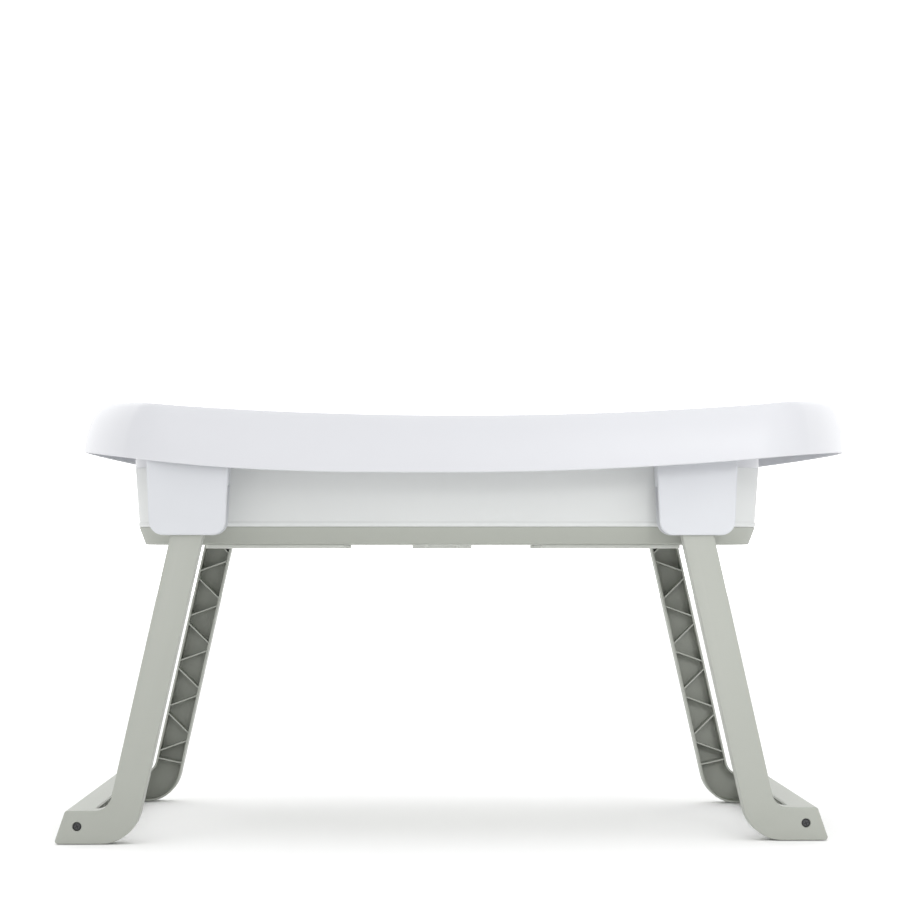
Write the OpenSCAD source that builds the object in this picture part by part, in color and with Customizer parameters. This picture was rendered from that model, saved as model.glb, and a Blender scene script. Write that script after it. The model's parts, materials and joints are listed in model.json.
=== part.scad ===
// Folding baby bath on a stand of two folding leg frames
// The origin is under the middle of the rim, on the floor. X runs along the bath, Y across it, Z is up.

/* [Rim] */
// Half of the rim's length
rim_half_length = 417.5; // [400:0.5:440]
// Half of the rim's width
rim_half_width = 254; // [250:1:266]
// Radius of the rim's corners in plan
rim_corner_r = 66; // [56:1:72]
// Radius of the rim's bowed ends in plan
rim_end_r = 420; // [380:1:500]
// Height of the rim's top over the pivots, at its lowest point
rim_top_h = 90.5; // [86:0.5:104]
// Distance from the stand's middle to the top's lowest point
top_shift = 14; // [0:1:24]
// Rise of the rim's top from its lowest point to the ends
rim_top_rise = 21.3; // [10:0.1:34]
// Height of the skirt's lower edge over the pivots, at the stand's middle
skirt_low_h = 31.5; // [22:0.5:38]
// Rise of the skirt's lower edge from the stand's middle to the foot end
skirt_low_rise = 24; // [10:0.1:34]
// Rise of the skirt's lower edge from the stand's middle to the head end
head_low_rise = 33; // [10:0.1:44]
// Wall of the rim
rim_wall = 2.8; // [2:0.1:4]
// Width of the top's round at the sloping head end
head_round = 25; // [14:1:34]
// Width of the top's round at the steep foot end
foot_round = 16; // [10:1:24]
// Width of the top's round along the sides
side_round = 18; // [12:1:24]
// Width of the round where the top turns into the tub
lip_round = 14; // [8:1:20]

/* [Tub] */
// Distance from the rim's head end to the tub
head_ledge = 58.8; // [50:0.1:70]
// Distance from the rim's foot end to the tub
foot_ledge = 96.2; // [84:0.1:110]
// Radius of the tub's corners in plan
tub_corner_r = 100; // [70:1:120]
// Radius of the tub's bowed ends in plan
tub_end_r = 900; // [700:10:1400]
// Height of the soft wall's top over the pivots
soft_top_h = 40; // [36:0.5:44]
// Distance of the soft wall's lower edge under the pivots
soft_drop = 23; // [16:0.5:27]
// Draft of the soft wall from top to lower edge
soft_draft = 4.6; // [3:0.1:8]
// Thickness of the soft wall
soft_wall_t = 2.6; // [2:0.1:3.5]
// Gap between the soft wall and the base
soft_gap = 0.3; // [0.2:0.05:0.5]

/* [Base] */
// Distance of the base's underside under the pivots
base_drop = 41.5; // [39:0.5:44]
// Draft of the base's side from its top to its underside
base_draft = 5.9; // [3:0.1:9]
// Thickness of the base
base_wall = 3; // [2:0.1:4]
// Height of the rails under the base
rail_h = 4; // [3:0.1:5]
// Length of a rail
rail_l = 146; // [100:1:160]
// Distance from a rail's far end to the pivot
rail_pivot_gap = 5.2; // [3:0.1:40]
// Width of a rail
rail_w = 26; // [14:1:40]
// Distance from the tub's side to the centre of a rail
rail_inset = 43; // [36:1:70]

/* [Drain] */
// Radius of the drain's bore
drain_bore_r = 17; // [14:0.5:20]
// Radius of the drain seat's tube
drain_tube_r = 20; // [18:0.5:23]
// Radius of the drain seat's flange
drain_flange_r = 30; // [27:0.5:32]
// Thickness of the drain seat's flange
drain_flange_t = 1.6; // [1:0.1:2.5]
// Radius of the nut under the base
drain_nut_r = 33; // [28:0.5:36]
// Radius of the plug's flange
plug_flange_r = 24; // [22:0.5:26]
// Thickness of the plug's seal
seal_t = 1.6; // [1:0.1:2.5]

/* [Legs] */
// Distance that the legs' middle is off the tub's middle towards the head end
legs_shift = 5.2; // [0:0.1:10]
// Distance from the tub's end to a pivot
pivot_inset = 84.8; // [80:0.1:92]
// Height of the pivots over the floor
pivot_z = 345; // [330:0.5:380]
// Lean of the legs from upright
lean = 12.5; // [11:0.1:14]
// Width of a leg
leg_w = 32; // [28:0.5:36]
// Depth of a leg
leg_t = 25; // [22:0.5:28]
// Wall of a leg
leg_wall = 2.2; // [1.6:0.1:3]
// Thickness of a leg's ribs
rib_t = 1.5; // [1:0.1:2.5]
// Length along the leg that one slanted rib takes
rib_run = 18.6; // [14:0.1:22]
// Length along the leg between two ribs at a wall
rib_gap = 8.7; // [5:0.1:12]
// Distance from the pivot to the first slanted rib
rib_start = 58.4; // [50:0.1:66]
// Radius of the heel
heel_r = 40; // [24:1:48]
// Radius between the leg and the foot's top
instep_r = 17; // [8:1:22]
// Height of the foot
foot_h = 33.6; // [30:0.1:37]
// Distance from a pivot out to the toe at the floor
toe_reach = 140.5; // [134:0.1:148]
// Slant of the toe from floor to top
toe_slant = 11.5; // [6:0.5:14]
// Gap between the inner and the outer frame
lane_gap = 2; // [1.5:0.1:4]

/* [Crossbars] */
// Width of a crossbar's top
bar_top_w = 27.5; // [22:0.5:30]
// Wall of a crossbar
bar_wall = 2.4; // [1.8:0.1:3]
// Pitch of a crossbar's ribs
bar_rib_pitch = 37; // [25:1:50]
// Thickness of a rubber pad under a crossbar
foot_pad_t = 1.4; // [1:0.1:1.6]
// Length of a rubber pad
foot_pad_l = 60; // [30:1:90]
// Width of a rubber pad
foot_pad_w = 16; // [10:1:20]

/* [Housings] */
// Distance from a pivot in to its housing's near side
housing_near = 36.6; // [32:0.1:40]
// Distance from a pivot out to its housing's far side
housing_far = 48.8; // [46:0.1:54]
// Draft of a housing's sides
housing_draft = 4; // [0:0.5:6]
// Distance of a housing's lower edge under the pivot
housing_drop = 32; // [27:0.5:36]
// Height of a housing's shoulder, behind the skirt, over the pivot
shoulder_h = 57; // [53:0.5:63]
// Height of a housing's top over the pivot
housing_top_h = 79; // [73:0.5:81]
// Radius of a housing's lower corners
housing_corner_r = 15; // [6:0.5:16]
// Distance from the rim's side to the outer housings' faces
skirt_gap = 11.5; // [8:0.1:14]
// Gap between the inner housings and the tub
housing_gap = 1.5; // [1.5:0.1:4]
// Wall of a housing
housing_wall = 2.5; // [2:0.1:3]
// Width of a housing's stem under the rim
stem_w = 62; // [50:1:66]

/* [Fasteners] */
// Radius of a pivot pin
pin_r = 4; // [3:0.1:5]
// Radius of a pivot pin's head
pin_head_r = 7; // [6:0.1:8]
// Thickness of a pivot pin's head
pin_head_t = 1.4; // [1:0.1:2]
// Room for a washer between a leg and its housing
washer_t = 2; // [1.5:0.1:3]
// Running clearance of a leg on its pin
running_fit = 0.05; // [0.03:0.01:0.1]
// Radius of a screw's thread
screw_r = 2; // [1.5:0.1:2.5]
// Radius of a screw's head
screw_head_r = 4.2; // [3.5:0.1:5]
// Height of a screw's head
screw_head_h = 2.4; // [2:0.1:3]
// Clearance between parts that are put together
fit = 0.2; // [0.1:0.05:0.3]

/* [Hidden] */
$fn = 48;

white = [0.92, 0.93, 0.94];
soft_grey = [0.82, 0.83, 0.82];
warm_grey = [0.69, 0.71, 0.68];
rail_grey = [0.77, 0.77, 0.75];
dark_grey = [0.25, 0.25, 0.26];
steel = [0.6, 0.6, 0.62];

left = -1;
right = 1;
front = 1;
rear = -1;
eps = 0.01;
cut = 1;
quarter_turn = 90;

// Up: all heights hang on the pivots' height
rim_top_z = pivot_z + rim_top_h;
skirt_low_z = pivot_z + skirt_low_h;
soft_top_z = pivot_z + soft_top_h;
soft_low_z = pivot_z - soft_drop;
base_low_z = pivot_z - base_drop;
housing_low_z = pivot_z - housing_drop;
housing_shoulder_z = pivot_z + shoulder_h;
housing_top_z = pivot_z + housing_top_h;

// Across: each leg frame turns in its own lane, the right frame's inside the left frame's
lane_outer = rim_half_width - skirt_gap - housing_wall - washer_t - leg_t;
lane_inner = lane_outer - lane_gap - leg_t;
function lane(side) = side == right ? lane_inner : lane_outer;
function lane_mid(side) = lane(side) + leg_t / 2;
function pocket_from(side) = lane(side) - washer_t;
function pocket_to(side) = lane(side) + leg_t + washer_t;
tub_half_width = pocket_from(right) - housing_wall - housing_gap;
rail_y = tub_half_width - rail_inset;

// Along: the tub between the two ledges, the pivots in from the tub's ends
tub_half_length = rim_half_length - (head_ledge + foot_ledge) / 2;
tub_x = (head_ledge - foot_ledge) / 2;
legs_x = tub_x - legs_shift;
pivot_x = tub_half_length - pivot_inset;
toe_x = pivot_x + toe_reach;
housing_from = pivot_x - housing_near;
housing_to = pivot_x + housing_far;
rail_to = pivot_x - rail_pivot_gap;
rail_from = rail_to - rail_l;

// Rounded outlines: each corner is [x, y, radius], anticlockwise, and inset moves every side inward
corner_steps = 10;
function unit(v) = v / norm(v);
function turned(v) = [-v[1], v[0]];
function cross2(a, b) = a[0] * b[1] - a[1] * b[0];
function flat(p) = [p[0], p[1]];
function moved_corner(a, p, b, inset) =
    let (u = unit(flat(p) - flat(a)), v = unit(flat(b) - flat(p)),
         turn = cross2(u, v))
    flat(p) + inset * (turned(u) + turned(v)) / (1 + u * v);
function corner_arc(a, p, b, inset) =
    let (u = unit(flat(p) - flat(a)), v = unit(flat(b) - flat(p)),
         turn = atan2(cross2(u, v), u * v),
         r = turn > 0 ? max(p[2] - inset, 0.2) : p[2] + inset,
         q = moved_corner(a, p, b, inset),
         reach = r * tan(abs(turn) / 2),
         side = turn > 0 ? 1 : -1,
         centre = q - reach * u + side * r * turned(u),
         steps = max(1, ceil(corner_steps * abs(turn) / quarter_turn)))
    p[2] == 0 ? [q] :
    [for (k = [0 : steps])
        let (t = turn * k / steps)
        centre - side * r * (cos(t) * turned(u) - sin(t) * u)];
function rounded(corners, inset = 0) =
    let (n = len(corners))
    [for (i = [0 : n - 1])
        each corner_arc(corners[(i + n - 1) % n], corners[i], corners[(i + 1) % n], inset)];

// Plan of the rim and the tub: two bowed ends, straight sides and round corners.
// Each station is [x, y, normal x, normal y], anticlockwise from the foot end.
end_steps = 6;
arc_steps = 8;
side_steps = 14;
function corner_x(hl, hw, rc, re) = hl - re + sqrt(pow(re - rc, 2) - pow(hw - rc, 2));
function corner_tilt(hl, hw, rc, re) = asin((hw - rc) / (re - rc));
function quarter(hl, hw, rc, re) =
    let (tilt = corner_tilt(hl, hw, rc, re), cx = corner_x(hl, hw, rc, re))
    concat(
        [for (k = [0 : end_steps - 1]) let (t = tilt * k / end_steps)
            [hl - re + re * cos(t), re * sin(t), cos(t), sin(t)]],
        [for (k = [0 : arc_steps - 1]) let (t = tilt + (quarter_turn - tilt) * k / arc_steps)
            [cx + rc * cos(t), hw - rc + rc * sin(t), cos(t), sin(t)]],
        [for (k = [0 : side_steps / 2 - 1])
            [cx * (1 - 2 * k / side_steps), hw, 0, 1]]);
function half_plan(hl, hw, rc, re) =
    let (q = quarter(hl, hw, rc, re), n = len(q))
    concat(q, [[0, hw, 0, 1]],
        [for (k = [1 : n - 1]) [-q[n - k][0], q[n - k][1], -q[n - k][2], q[n - k][3]]]);
function plan(hl, hw, rc, re) =
    let (h = half_plan(hl, hw, rc, re))
    concat(h, [for (p = h) [-p[0], -p[1], -p[2], -p[3]]]);
rim_plan = plan(rim_half_length, rim_half_width, rim_corner_r, rim_end_r);
tub_plan = [for (p = plan(tub_half_length, tub_half_width, tub_corner_r, tub_end_r))
    [p[0] + tub_x, p[1], p[2], p[3]]];
stations = len(rim_plan);
function out(p, d) = [p[0] + p[2] * d, p[1] + p[3] * d];

// Rings of points joined into a solid: closed on itself, or closed by a face at each end
function ring_faces(rings, n, closed) =
    [for (j = [0 : rings - (closed ? 1 : 2)], i = [0 : n - 1])
        let (a = j * n + i, b = j * n + (i + 1) % n,
             c = ((j + 1) % rings) * n + (i + 1) % n, d = ((j + 1) % rings) * n + i)
        each [[a, d, b], [b, d, c]]];
module ring_solid(rings, closed = true) {
    n = len(rings[0]);
    caps = closed ? [] : [[for (i = [0 : n - 1]) i],
                          [for (i = [n - 1 : -1 : 0]) (len(rings) - 1) * n + i]];
    polyhedron(points = [for (r = rings) each r],
               faces = concat(ring_faces(len(rings), n, closed), caps), convexity = 8);
}

// Rim: a saddle whose lower edge is lowest over the stand's middle and stays low further towards the head end
head_low_power = 3;
function rise(x, power = 2) = pow(abs(x - legs_x) / rim_half_length, power);
function top_z(x) = rim_top_z + rim_top_rise * rise(x - top_shift);
function low_z(x) = skirt_low_z
    + (x < legs_x ? head_low_rise * rise(x, head_low_power) : skirt_low_rise * rise(x));
function round_w(nx) = side_round + ((nx < 0 ? head_round : foot_round) - side_round) * nx * nx;
// The head end slopes off with a flatter curve than the foot end
head_power = 1.8;
foot_power = 2.2;
side_power = 2;
function round_power(nx) = side_power + ((nx < 0 ? head_power : foot_power) - side_power) * nx * nx;
skirt_steps = 10;
function skirt_ring(t, wall) =
    [for (i = [0 : stations - 1])
        let (p = rim_plan[i], w = round_w(p[2]), e = 2 / round_power(p[2]),
             q = out(p, -w + (w - wall) * pow(cos(t), e)))
        [q[0], q[1], low_z(p[0]) + (top_z(p[0]) - wall - low_z(p[0])) * pow(sin(t), e)]];
lip_steps = 4;
lip_h = 12;
function lip_ring(t, wall) =
    [for (i = [0 : stations - 1])
        let (p = tub_plan[i], q = out(p, -rim_wall + wall + lip_round * (1 - cos(t))))
        [q[0], q[1], top_z(q[0]) - wall - lip_h * (1 - sin(t))]];
function tub_ring(d, z) = [for (p = tub_plan) let (q = out(p, d)) [q[0], q[1], z]];
rim_rings = concat(
    [for (k = [0 : skirt_steps]) skirt_ring(quarter_turn * k / skirt_steps, 0)],
    [for (k = [lip_steps : -1 : 0]) lip_ring(quarter_turn * k / lip_steps, 0)],
    [tub_ring(-rim_wall, soft_top_z), tub_ring(0, soft_top_z)],
    [for (k = [0 : lip_steps]) lip_ring(quarter_turn * k / lip_steps, rim_wall)],
    [for (k = [skirt_steps : -1 : 0]) skirt_ring(quarter_turn * k / skirt_steps, rim_wall)]);

// Housing screws go up into round bosses under the rim's top
boss_r = 5.5;
boss_sink = 1.2;
screw_bite = 11;
screw_spread = 41;
stem_x = (housing_from + housing_to) / 2;
function boss_xs(side) = [for (s = [-1, 1]) legs_x + side * stem_x + s * screw_spread / 2];
module at_housing_screws() {
    for (side = [left, right], x = boss_xs(side), y = [-lane_mid(side), lane_mid(side)])
        translate([x, y, 0]) children();
}
boss_top = 1;
module rim() {
    color(white) {
        ring_solid(rim_rings);
        for (side = [left, right], x = boss_xs(side), y = [-lane_mid(side), lane_mid(side)]) {
            boss_h = top_z(x) - boss_sink - housing_top_z;
            translate([x, y, housing_top_z])
                difference() {
                    cylinder(r = boss_r, h = boss_h);
                    translate([0, 0, -eps])
                        cylinder(r = screw_r, h = min(screw_bite + fit, boss_h - boss_top));
                }
        }
    }
}

// Soft wall between the rim and the base
soft_mid_z = (soft_top_z + soft_low_z) / 2;
fold_groove = 0.8;
module soft_wall() {
    color(soft_grey)
        ring_solid([
            tub_ring(-soft_draft, soft_low_z + soft_gap),
            tub_ring(0, soft_top_z),
            tub_ring(-soft_wall_t, soft_top_z),
            tub_ring(-soft_wall_t - soft_draft / 2 + fold_groove, soft_mid_z),
            tub_ring(-soft_wall_t - soft_draft, soft_low_z + soft_gap)]);
}

// Base
base_floor_z = base_low_z + base_wall;
base_out = -soft_draft;
base_foot_r = 3;
module at_legs_middle() {
    translate([legs_x, 0, 0]) children();
}
module base_tray() {
    color(warm_grey)
        difference() {
            ring_solid([
                tub_ring(base_out - base_draft - base_foot_r, base_low_z),
                tub_ring(base_out - base_draft, base_low_z + base_foot_r / 2),
                tub_ring(base_out, soft_low_z),
                tub_ring(base_out - base_wall, soft_low_z),
                tub_ring(base_out - base_draft - base_wall, base_floor_z + base_foot_r),
                tub_ring(base_out - base_draft - base_wall - 2 * base_foot_r, base_floor_z)], closed = false);
            at_legs_middle()
                translate([0, 0, base_low_z - cut]) cylinder(r = drain_tube_r + fit, h = base_wall + 2 * cut);
        }
}
rail_corner_r = 6;
module rail() {
    corners = [[-1, -1], [1, -1], [1, 1], [-1, 1]];
    linear_extrude(rail_h)
        polygon(rounded([for (c = corners)
            [c[0] * (rail_to - rail_from) / 2, c[1] * rail_w / 2, rail_corner_r]]));
}
module base_rails() {
    color(rail_grey)
        for (side = [left, right], y = [-rail_y, rail_y])
            translate([legs_x + side * (rail_from + rail_to) / 2, y, base_low_z - rail_h]) rail();
}

// Drain
nut_t = rail_h;
seat_top_z = base_floor_z + drain_flange_t;
nut_flats = 6;
module drain_seat() {
    color(white)
        at_legs_middle()
            difference() {
                union() {
                    translate([0, 0, base_floor_z]) cylinder(r = drain_flange_r, h = drain_flange_t);
                    translate([0, 0, base_low_z - nut_t])
                        cylinder(r = drain_tube_r, h = nut_t + base_wall + eps);
                }
                translate([0, 0, base_low_z - nut_t - cut])
                    cylinder(r = drain_bore_r, h = nut_t + base_wall + drain_flange_t + 2 * cut);
            }
}
module drain_nut() {
    color(rail_grey)
        at_legs_middle()
            translate([0, 0, base_low_z - nut_t])
                difference() {
                    cylinder(r = drain_nut_r, h = nut_t);
                    translate([0, 0, -cut]) cylinder(r = drain_tube_r + fit, h = nut_t + 2 * cut);
                    for (k = [0 : nut_flats - 1])
                        rotate([0, 0, k * 360 / nut_flats])
                            translate([drain_nut_r, 0, -cut]) cylinder(r = nut_t / 2, h = nut_t / 2 + cut);
                }
}
plug_t = 2.4;
plug_depth = 8;
knob_r = 7;
knob_h = 7;
knob_lip = 1.5;
knob_lip_h = 3;
plug_stem_r = drain_bore_r - 2 * fit - seal_t;
plug_z = seat_top_z + seal_t;
module drain_plug() {
    color(white)
        at_legs_middle() {
            translate([0, 0, plug_z]) cylinder(r = plug_flange_r, h = plug_t);
            translate([0, 0, plug_z - plug_depth])
                difference() {
                    cylinder(r = plug_stem_r, h = plug_depth + eps);
                    translate([0, 0, -cut]) cylinder(r = plug_stem_r - plug_t, h = plug_depth);
                }
            translate([0, 0, plug_z + plug_t - eps]) cylinder(r = knob_r, h = knob_h - knob_lip_h / 2);
            translate([0, 0, plug_z + plug_t + knob_h - knob_lip_h])
                cylinder(r = knob_r + knob_lip, h = knob_lip_h);
        }
}
seal_gap = 0.05;
seal_inset = 1;
module drain_seal() {
    color(dark_grey)
        at_legs_middle()
            translate([0, 0, seat_top_z + seal_gap])
                difference() {
                    cylinder(r = plug_flange_r - seal_inset, h = seal_t - 2 * seal_gap);
                    translate([0, 0, -cut]) cylinder(r = plug_stem_r + fit, h = seal_t + 2 * cut);
                }
}

// Legs: drawn for the right front corner, then mirrored
module corner(side, face) {
    translate([legs_x, 0, 0])
        mirror([side == left ? 1 : 0, 0, 0])
            mirror([0, face == rear ? 1 : 0, 0])
                children();
}
// Extrudes an outline of x and z from distance y0 to y1 in front of the middle
module forward(y0, y1) {
    translate([0, -y0, 0]) rotate([90, 0, 0]) linear_extrude(y1 - y0) children();
}
module forward_rod(x, z, r, y0, y1) {
    translate([x, -y0, z]) rotate([90, 0, 0]) cylinder(r = r, h = y1 - y0);
}
down = [sin(lean), -cos(lean)];
outward = [cos(lean), sin(lean)];
pivot = [pivot_x, pivot_z];
function on_leg(s, w) = pivot + s * down + w * outward;
function leg_line_x(z, w) = pivot_x + (pivot_z - z) * tan(lean) + w / cos(lean);
half_w = leg_w / 2;
toe_r = 3;
leg_corners = [
    concat(on_leg(-half_w, half_w), half_w),
    concat(on_leg(-half_w, -half_w), half_w),
    [leg_line_x(0, -half_w), 0, heel_r],
    [toe_x, 0, toe_r],
    [toe_x - toe_slant, foot_h, toe_r],
    [leg_line_x(foot_h, half_w), foot_h, instep_r]];
module bar(a, b, t) {
    u = unit(b - a);
    n = turned(u) * t / 2;
    polygon([a - n, b - n, b + n, a + n]);
}
leg_length = (pivot_z - foot_h) / cos(lean);
period = 2 * (rib_run + rib_gap);
rib_in = half_w - leg_wall / 2;
rib_count = floor((leg_length - rib_start - rib_run) / period) + 1;
last_rib = rib_start + period * (rib_count - 1) + rib_run + rib_gap;
module leg_ribs() {
    for (k = [0 : rib_count - 1]) {
        s = rib_start + k * period;
        bar(on_leg(s, -rib_in), on_leg(s + rib_run, rib_in), rib_t);
        bar(on_leg(s - rib_gap - rib_run, rib_in), on_leg(s - rib_gap, -rib_in), rib_t);
    }
    bar(on_leg(last_rib, rib_in), on_leg(last_rib, -rib_in), rib_t);
}
bar_in_x = toe_x - toe_slant - bar_top_w;
screw_inset = 4;
screw_lift = 0.8;
screw_x = (bar_in_x + toe_x) / 2 - screw_inset;
screw_z = foot_h / 2 + screw_lift;
head_sink = 3.2;
screw_cup = 7;
pivot_boss_wall = 4.5;
pivot_boss_r = pin_r + pivot_boss_wall;
rib_recess = 1;
module leg(side, face) {
    y0 = lane(side);
    y1 = y0 + leg_t;
    color(warm_grey)
        corner(side, face)
            difference() {
                union() {
                    difference() {
                        forward(y0, y1) polygon(rounded(leg_corners));
                        forward(y0 - cut, y1 - leg_wall) polygon(rounded(leg_corners, leg_wall));
                    }
                    forward(y0 + rib_recess, y1 - leg_wall / 2) leg_ribs();
                    forward_rod(pivot_x, pivot_z, pivot_boss_r, y0, y1 - leg_wall / 2);
                    forward_rod(screw_x, screw_z, screw_cup, y1 - head_sink - leg_wall, y1 - leg_wall / 2);
                }
                forward_rod(pivot_x, pivot_z, pin_r + running_fit, y0 - cut, y1 + cut);
                forward_rod(screw_x, screw_z, screw_r + fit, y0, y1 + cut);
                forward_rod(screw_x, screw_z, screw_head_r + fit, y1 - head_sink, y1 + cut);
            }
}

// Crossbars: an open channel between the two feet, with a tongue into each foot
bar_flare = 4;
edge_r = 1;
open_x = bar_in_x - bar_top_w;
bar_corners = [
    [bar_in_x - bar_flare, 0, edge_r],
    [toe_x, 0, toe_r],
    [toe_x - toe_slant, foot_h, toe_r],
    [bar_in_x, foot_h, edge_r]];
bar_hollow = [
    [open_x, bar_wall, 0],
    [toe_x - toe_slant * bar_wall / foot_h - bar_wall, bar_wall, edge_r],
    [toe_x - toe_slant - bar_wall, foot_h - bar_wall, edge_r],
    [open_x, foot_h - bar_wall, 0]];
pad_x = (bar_in_x + toe_x) / 2;
tongue_gap = leg_wall + fit;
rib_inset = bar_wall / 4;
pad_inset = 12;
module foot_pad(side, face, spare) {
    corner(side, face)
        translate([pad_x - foot_pad_w / 2 - spare, pad_inset - lane(side) - spare, -spare])
            cube([foot_pad_w + 2 * spare, foot_pad_l + 2 * spare, foot_pad_t + spare]);
}
module crossbar(side) {
    end_y = lane(side) - fit;
    tongue_from = end_y - leg_wall;
    tongue_to = lane(side) + leg_t - head_sink - leg_wall - fit;
    ribs = floor(2 * end_y / bar_rib_pitch);
    pitch = (2 * end_y - rib_t) / ribs;
    color(warm_grey)
        difference() {
            corner(side, front) {
                difference() {
                    forward(-end_y, end_y) polygon(rounded(bar_corners));
                    forward(-end_y - cut, end_y + cut) polygon(rounded(bar_hollow));
                }
                for (k = [0 : ribs]) {
                    rib_y = k * pitch - end_y;
                    forward(rib_y, rib_y + rib_t) polygon(rounded(bar_corners, rib_inset));
                }
                forward(tongue_from, tongue_to) polygon(rounded(bar_corners, tongue_gap));
                forward(-tongue_to, -tongue_from) polygon(rounded(bar_corners, tongue_gap));
            }
            corner(side, front) {
                forward_rod(screw_x, screw_z, screw_r, tongue_from - cut, tongue_to + cut);
                forward_rod(screw_x, screw_z, screw_r, -tongue_to - cut, -tongue_from + cut);
            }
            for (face = [front, rear]) foot_pad(side, face, fit / 2);
        }
}
module foot_pads(side) {
    color(dark_grey)
        for (face = [front, rear]) foot_pad(side, face, 0);
}
foot_screw_l = 20;
slot_w = 1;
slot_l = 1.2 * screw_head_r;
slot_depth = 1.2;
slot_turn = 20;
module foot_screws(side) {
    y1 = lane(side) + leg_t;
    head_y = y1 - head_sink + fit / 2;
    color(dark_grey)
        for (face = [front, rear])
            corner(side, face)
                difference() {
                    union() {
                        forward_rod(screw_x, screw_z, screw_head_r, head_y, head_y + screw_head_h);
                        forward_rod(screw_x, screw_z, screw_r - fit / 2, y1 - foot_screw_l, head_y + eps);
                    }
                    for (a = [0, quarter_turn])
                        forward(head_y + screw_head_h - slot_depth, head_y + screw_head_h + cut)
                            translate([screw_x, screw_z])
                                rotate(a + slot_turn) square([slot_l, slot_w], center = true);
                }
}

// Housings
stop_h = 10;
stop_lift = 4;
stop_clear = 0.3;
swing_clear = 1;
sweep_r = half_w + swing_clear;
mouth_lap = 2;
stem_setback = 8;
cavity_top_z = housing_shoulder_z - housing_wall;
stem_from = stem_x - stem_w / 2;
stem_to = stem_x + stem_w / 2;
function wall_from(side) = pocket_from(side) - housing_wall;
function wall_to(side) = pocket_to(side) + housing_wall;
// A box outline between two heights
function box(x0, x1, z0, z1) = [[x0, z0], [x1, z0], [x1, z1], [x0, z1]];
housing_corners = [
    [housing_from + housing_draft, housing_low_z, housing_corner_r],
    [housing_to - housing_draft, housing_low_z, housing_corner_r],
    [housing_to, housing_shoulder_z, edge_r],
    [housing_from, housing_shoulder_z, edge_r]];
// The cavity is open at the bottom, between the two lower corners
mouth_from = housing_from + housing_draft + housing_corner_r;
mouth_to = housing_to - housing_draft - housing_corner_r;
mouth_box = box(mouth_from, mouth_to, housing_low_z - cut, housing_low_z + 2 * housing_wall);
// The leg folds out through the near side
swing_top_z = pivot_z + sweep_r + mouth_lap;
swing_box = box(housing_from - cut, mouth_from + mouth_lap, housing_low_z - cut, swing_top_z);
// Stop that the opened leg rests on, with its lower corner inside the housing's rounded one
stop_z = housing_low_z + stop_lift;
stop_round = housing_corner_r - stop_lift;
stop_top_z = stop_z + max(stop_h, stop_round + edge_r);
stop_to = housing_to - housing_draft - edge_r;
stop_corners = [
    [leg_line_x(stop_z, half_w) + stop_clear, stop_z, 0],
    [stop_to, stop_z, stop_round],
    [stop_to, stop_top_z, 0],
    [leg_line_x(stop_top_z, half_w) + stop_clear, stop_top_z, 0]];
module housing(side, face) {
    y0 = pocket_from(side);
    y1 = pocket_to(side);
    stem_y = wall_to(side) - stem_setback;
    color(white)
        corner(side, face)
            difference() {
                union() {
                    difference() {
                        forward(wall_from(side), wall_to(side)) polygon(rounded(housing_corners));
                        forward(y0, y1) polygon(rounded(housing_corners, housing_wall));
                        forward(y0, y1) polygon(mouth_box);
                        forward(lane(side) - swing_clear, lane(side) + leg_t + swing_clear)
                            polygon(swing_box);
                    }
                    // Stem that reaches up to the bosses under the rim
                    forward(wall_from(side), stem_y)
                        polygon(box(stem_from, stem_to, housing_shoulder_z - housing_wall, housing_top_z));
                    forward(y0 - cut, y1 + cut) polygon(rounded(stop_corners));
                }
                // Hollow of the stem
                forward(y0, stem_y - housing_wall)
                    polygon(box(stem_from + housing_wall, stem_to - housing_wall,
                                cavity_top_z - cut, housing_top_z - housing_wall));
                forward_rod(pivot_x, pivot_z, pin_r + fit / 4,
                            wall_from(side) - cut, wall_to(side) - housing_wall / 2);
                for (x = [stem_x - screw_spread / 2, stem_x + screw_spread / 2])
                    translate([x, -lane_mid(side), housing_top_z - housing_wall - cut])
                        cylinder(r = screw_r + fit, h = housing_wall + 2 * cut);
            }
}
module pivot_pin(side, face) {
    color(steel)
        corner(side, face) {
            forward_rod(pivot_x, pivot_z, pin_r,
                        wall_from(side) - eps, wall_to(side) - housing_wall / 2 - fit);
            forward_rod(pivot_x, pivot_z, pin_head_r, wall_from(side) - pin_head_t, wall_from(side));
        }
}
module pivot_washers(side) {
    color(steel)
        for (face = [front, rear], y0 = [pocket_from(side), lane(side) + leg_t])
            corner(side, face)
                difference() {
                    forward_rod(pivot_x, pivot_z, pivot_boss_r, y0 + fit, y0 + washer_t - fit);
                    forward_rod(pivot_x, pivot_z, pin_r + running_fit, y0, y0 + washer_t);
                }
}
module housing_screws() {
    color(dark_grey)
        at_housing_screws()
            translate([0, 0, housing_top_z - housing_wall - fit / 2]) {
                translate([0, 0, -screw_head_h]) cylinder(r = screw_head_r, h = screw_head_h);
                translate([0, 0, -eps]) cylinder(r = screw_r - fit / 2, h = screw_bite);
            }
}

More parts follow.
